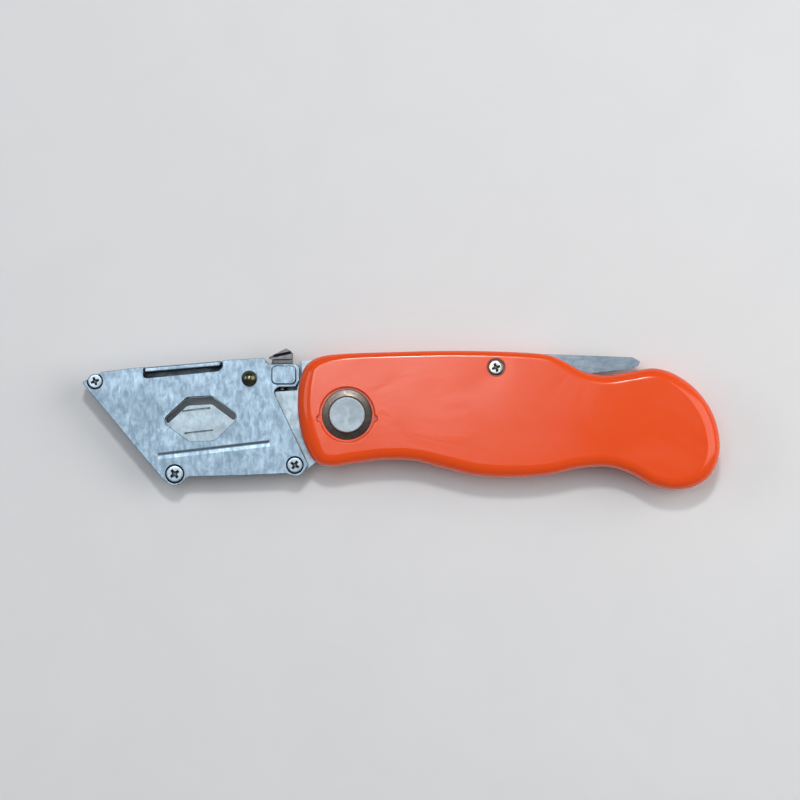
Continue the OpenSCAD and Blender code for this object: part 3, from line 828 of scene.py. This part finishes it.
def placed_heads(name, heads, material):
    """Puts a head at every (point, radius), turned its own way, with Geometry Nodes"""
    first_turn, next_turn = 0.35, 1.9
    spots = bpy.data.meshes.new(name + "_spots")
    spots.from_pydata([tuple(p) for p, r in heads], [], [])
    size = spots.attributes.new("size", "FLOAT", "POINT")
    size.data.foreach_set("value", [r for p, r in heads])
    head = screw_head().piece(name + "_head")
    host = bpy.data.objects.new(name + "_finished", spots)
    bpy.context.scene.collection.objects.link(host)
    tree = bpy.data.node_groups.new(name + " heads", "GeometryNodeTree")
    tree.interface.new_socket(name="Geometry", in_out="INPUT", socket_type="NodeSocketGeometry")
    tree.interface.new_socket(name="Head", in_out="INPUT", socket_type="NodeSocketObject")
    tree.interface.new_socket(name="Finish", in_out="INPUT", socket_type="NodeSocketMaterial")
    tree.interface.new_socket(name="Geometry", in_out="OUTPUT", socket_type="NodeSocketGeometry")
    given = put(tree, "NodeGroupInput").outputs
    sized = put(tree, "GeometryNodeInputNamedAttribute", {"Name": "size"}, data_type="FLOAT")
    count = put(tree, "GeometryNodeInputIndex").outputs[0]
    turn = put(tree, "ShaderNodeCombineXYZ", {"Z": math_node(
        tree, "ADD", math_node(tree, "MULTIPLY", count, next_turn), first_turn)}).outputs[0]
    shown = put(tree, "GeometryNodeObjectInfo", {"Object": given["Head"]}).outputs["Geometry"]
    many = put(tree, "GeometryNodeInstanceOnPoints", {
        "Points": given["Geometry"], "Instance": shown, "Rotation": turn,
        "Scale": sized.outputs["Attribute"]}).outputs[0]
    real = put(tree, "GeometryNodeRealizeInstances", {"Geometry": many}).outputs[0]
    done = put(tree, "GeometryNodeSetMaterial", {"Geometry": real,
               "Material": given["Finish"]}).outputs[0]
    put(tree, "NodeGroupOutput", {0: done})
    added = host.modifiers.new("Heads", "NODES")
    added.node_group = tree
    for socket in tree.interface.items_tree:
        if socket.in_out == "INPUT" and socket.name == "Head":
            added[socket.identifier] = head
        if socket.in_out == "INPUT" and socket.name == "Finish":
            added[socket.identifier] = material
    bpy.context.view_layer.update()
    graph = bpy.context.evaluated_depsgraph_get()
    solid = bpy.data.meshes.new_from_object(host.evaluated_get(graph))
    host.modifiers.clear()
    host.data = solid
    solid.name = name + "_finished"
    bpy.data.objects.remove(head)
    return host


def add_shanks(obj, shanks):
    """Joins plain shanks to placed heads: (centre, radius, low, high)"""
    soft, point = 0.05 * MM, 0.1 * MM
    for centre, r, low, high in shanks:
        skin = Skin()
        first, last = skin.rim(ring(centre, r, 32), [(-soft, high), (0, high - soft),
                                                     (0, low + point), (-point, low)])
        skin.cap([first])
        skin.cap([last], False)
        work = bmesh.new()
        work.from_mesh(obj.data)
        base = [work.verts.new(p) for p in skin.points]
        for f in skin.faces:
            made = work.faces.new([base[i] for i in f])
            made.smooth = True
        work.to_mesh(obj.data)
        work.free()


def outer_loops(node, level):
    """Outlines of a part's flat faces at one level, without their holes"""
    return [loop for loop in flat_loops(node, level) if area(loop) > 0]


def shank_top(seat, top):
    """Level inside a head, between the bottom of its cross and its underside"""
    return top - reach(seat) * (HEAD_DEEP + CROSS_DEEP) / 2


marks = levels("plate_screws")
seats = sorted(outer_loops("plate_screws", marks[-1]), key=lambda loop: middle(loop).x)
tips = sorted(outer_loops("plate_screws", marks[0]), key=lambda loop: middle(loop).x)
plate_heads = placed_heads("plate_screws", [
    ((middle(s).x, middle(s).y, marks[-1]), reach(s)) for s in seats], HEAD)
add_shanks(plate_heads, [(middle(t), reach(t), marks[0], shank_top(s, marks[-1]))
                         for s, t in zip(seats, tips)])
finish_piece(plate_heads, None, "plate_screws")

marks = levels("lock_screw")
seat = outer_loops("lock_screw", marks[-1])[0]
tip = outer_loops("lock_screw", marks[0])[0]
bar_head = placed_heads("lock_screw", [((middle(seat).x, middle(seat).y, marks[-1]), reach(seat))],
                        NICKEL)
add_shanks(bar_head, [(middle(tip), reach(tip), marks[0], shank_top(seat, marks[-1]))])
finish_piece(bar_head, None, "lock_screw")
softened("lock_screw_nut", 0.15 * MM, NICKEL)
softened("shell_pins", 0.15 * MM, HEAD)


def latch_coil():
    """Round wire wound between the latch's arm and its seat, swept with Geometry Nodes"""
    low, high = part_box("latch_spring")
    wire, turns = 0.2 * MM, 3.0
    tree = bpy.data.node_groups.new("Coil", "GeometryNodeTree")
    for label, kind in (("Radius", FLOAT), ("Height", FLOAT), ("Wire", FLOAT)):
        tree.interface.new_socket(name=label, in_out="INPUT", socket_type=kind)
    tree.interface.new_socket(name="Finish", in_out="INPUT", socket_type="NodeSocketMaterial")
    tree.interface.new_socket(name="Geometry", in_out="OUTPUT", socket_type="NodeSocketGeometry")
    given = put(tree, "NodeGroupInput").outputs
    line = put(tree, "GeometryNodeCurveSpiral", {
        "Resolution": 24, "Rotations": turns, "Start Radius": given["Radius"],
        "End Radius": given["Radius"], "Height": given["Height"]}).outputs[0]
    section = put(tree, "GeometryNodeCurvePrimitiveCircle", {
        "Resolution": 10, "Radius": given["Wire"]}).outputs[0]
    swept = put(tree, "GeometryNodeCurveToMesh", {"Curve": line, "Profile Curve": section,
                "Fill Caps": True}).outputs[0]
    smooth = put(tree, "GeometryNodeSetShadeSmooth", {"Geometry": swept}).outputs[0]
    done = put(tree, "GeometryNodeSetMaterial", {"Geometry": smooth,
               "Material": given["Finish"]}).outputs[0]
    put(tree, "NodeGroupOutput", {0: done})
    host = bpy.data.objects.new("latch_spring_coil", bpy.data.meshes.new("coil"))
    bpy.context.scene.collection.objects.link(host)
    added = host.modifiers.new("Coil", "NODES")
    added.node_group = tree
    radius = (high.z - low.z) / 2 - wire
    values = {"Radius": radius, "Height": high.y - low.y - 2 * wire, "Wire": wire,
              "Finish": NICKEL}
    for socket in tree.interface.items_tree:
        if socket.in_out == "INPUT":
            added[socket.identifier] = values[socket.name]
    bpy.context.view_layer.update()
    graph = bpy.context.evaluated_depsgraph_get()
    solid = bpy.data.meshes.new_from_object(host.evaluated_get(graph))
    host.modifiers.clear()
    host.data = solid
    centre = (low + high) / 2
    for v in solid.vertices:
        x, y, z = v.co
        v.co = (centre.x + x, low.y + wire + z, centre.z - y)
    finish_piece(host, None, "latch_spring")


latch_coil()

# ---- table, lights and camera ----


def area_light(name, place, target, wide, deep, power, colour=(1, 1, 1)):
    """A rectangular light that faces its target"""
    data = bpy.data.lights.new(name, "AREA")
    data.shape = "RECTANGLE"
    data.size, data.size_y, data.energy, data.color = wide, deep, power, colour
    made = bpy.data.objects.new(name, data)
    bpy.context.scene.collection.objects.link(made)
    made.location = place
    made.rotation_mode = "QUATERNION"
    made.rotation_quaternion = (Vector(target) - Vector(place)).to_track_quat("-Z", "Y")


bpy.ops.mesh.primitive_plane_add(size=4)
floor = bpy.context.object
floor.name = "table"
paper = Look("Pale table", Roughness=0.75)
tone = paper.effect("mottle", Scale=30.0, Contrast=1.0)
paper.set(Base_Color=paper.blend(tone, (0.8, 0.8, 0.81), (0.84, 0.84, 0.845)))
floor.data.materials.append(paper.material)

world = bpy.data.worlds.new("Studio")
bpy.context.scene.world = world
world.use_nodes = True
world.node_tree.nodes["Background"].inputs["Color"].default_value = (0.85, 0.92, 1.0, 1)
world.node_tree.nodes["Background"].inputs["Strength"].default_value = 0.15

area_light("Overhead softbox", (-0.165, 0.2, 1.25), (-0.165, 0.2, 0), wide=0.49, deep=0.42,
           power=2.9, colour=(0.95, 0.97, 1.0))
area_light("Key", (0.004, 0.36, 0.9), (0, 0, 0), wide=0.085, deep=0.08, power=2.3)
area_light("Right fill", (0.5, 0.1, 0.42), (0.04, 0, 0), wide=0.5, deep=0.6, power=2.1,
           colour=(1.0, 0.97, 0.93))
area_light("Left fill", (-0.9, 0.2, 0.7), (0, 0, 0), wide=0.6, deep=0.5, power=1.6,
           colour=(0.93, 0.97, 1.0))

camera = bpy.data.cameras.new("Camera")
eye = bpy.data.objects.new("Camera", camera)
bpy.context.scene.collection.objects.link(eye)
bpy.context.scene.camera = eye
DISTANCE, VIEW_WIDE = 0.9, 0.206459      # the view's width at the handle's flat face
AIM = (-0.25 * MM, 4.9 * MM)
camera.sensor_width = 36
camera.lens = camera.sensor_width * DISTANCE / VIEW_WIDE
camera.clip_start, camera.clip_end = 0.05, 10
eye.location = (*AIM, HANDLE_TOP + DISTANCE)

bpy.context.scene.view_settings.view_transform = "Standard"
